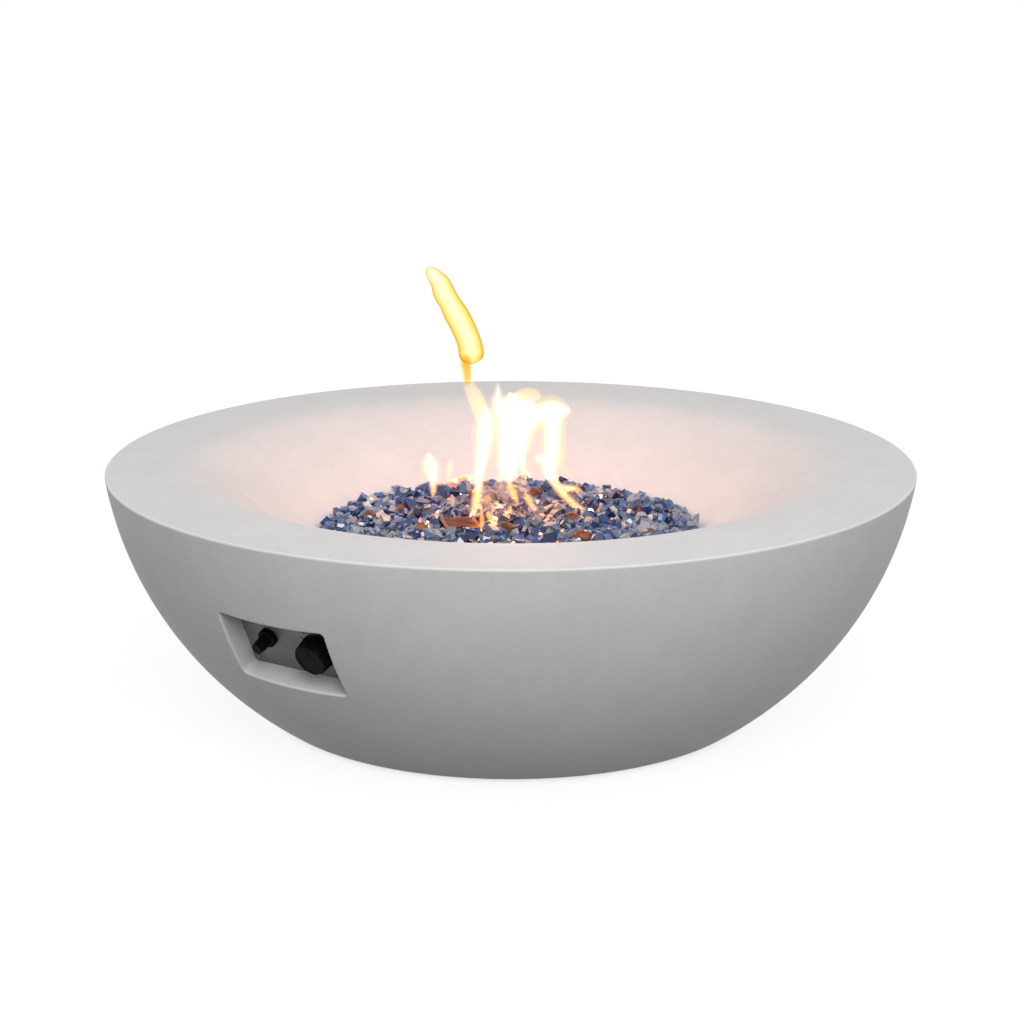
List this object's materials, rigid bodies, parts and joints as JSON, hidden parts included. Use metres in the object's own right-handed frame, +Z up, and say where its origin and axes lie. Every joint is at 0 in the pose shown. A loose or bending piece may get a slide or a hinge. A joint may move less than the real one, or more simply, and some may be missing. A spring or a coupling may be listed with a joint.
{
  "type": "gas fire pit bowl",
  "caption": "Round cast-concrete gas fire pit bowl with a wide flat rim, sloped fire dish with burner and fire glass, and a recessed panel with a push-and-turn knob and push-button igniter.",
  "frame": {"origin": "on the floor under the centre of the bowl", "axes": "+Z up, the control recess faces -Y, the igniter is on the -X side of the knob"},
  "size_m": [1.0662, 1.0662, 0.33],
  "materials": {
    "cast_concrete": "smooth cast, sealed",
    "rubber_pad": "matte",
    "stainless_sheet": "brushed",
    "stainless_tube": "drawn tube, heat tinted",
    "heat_tinted_steel": "brown and purple from heat",
    "zinc_steel": "zinc plated",
    "brass_fitting": "turned",
    "lava_rock": "porous, rough",
    "fire_glass": "broken, reflective blue",
    "ceramic": "unglazed",
    "lead_sheath": "silicone sleeve",
    "copper_lead": "copper capillary",
    "black_plastic": "moulded, fine texture",
    "battery_jacket": "plain printed film"
  },
  "bodies": {
    "bowl": {"bowl_shell": "cast_concrete", "foot_pads": "rubber_pad", "burner_pan": "stainless_sheet", "control_panel": "stainless_sheet", "pilot_bracket": "stainless_sheet", "burner_ring": "stainless_tube", "supply_tube": "stainless_tube", "pilot_guard": "heat_tinted_steel", "electrode_rod": "heat_tinted_steel", "thermocouple": "heat_tinted_steel", "burner_nipple": "zinc_steel", "burner_locknut": "zinc_steel", "panel_screws": "zinc_steel", "valve_screws": "zinc_steel", "valve_spring": "zinc_steel", "igniter_nut": "zinc_steel", "igniter_spring": "zinc_steel", "air_mixer": "brass_fitting", "gas_orifice": "brass_fitting", "mixer_elbow": "brass_fitting", "tube_nuts": "brass_fitting", "thermocouple_nut": "brass_fitting", "gas_valve_body": "brass_fitting", "gas_inlet_fitting": "brass_fitting", "lava_rock_bed": "lava_rock", "lava_stones": "lava_rock", "fire_glass_bed": "fire_glass", "electrode_ceramic": "ceramic", "spark_lead": "lead_sheath", "thermocouple_lead": "copper_lead", "igniter_housing": "black_plastic", "igniter_end_cap": "black_plastic", "battery_cell": "battery_jacket"},
    "plunger": {"valve_push_rod": "brass_fitting"},
    "knob": {"valve_stem": "brass_fitting", "control_knob": "black_plastic"},
    "button": {"igniter_button": "black_plastic"}
  },
  "joints": [
    {"name": "knob_push", "type": "slide", "parent": "bowl", "child": "plunger", "axis": [0, 0.9135, 0.4067], "range_m": [0, 0.004], "stiffness_N_per_m": 1200, "springref_m": -0.003, "deforming": ["valve_spring"]},
    {"name": "knob_turn", "type": "hinge", "parent": "plunger", "child": "knob", "pos_m": [0.04, -0.45475, 0.19641], "axis": [0, -0.9135, -0.4067], "range_deg": [-90, 90]},
    {"name": "igniter_press", "type": "slide", "parent": "bowl", "child": "button", "axis": [0, 0.9135, 0.4067], "range_m": [0, 0.0035], "stiffness_N_per_m": 800, "springref_m": -0.003, "deforming": ["igniter_spring"]}
  ]
}
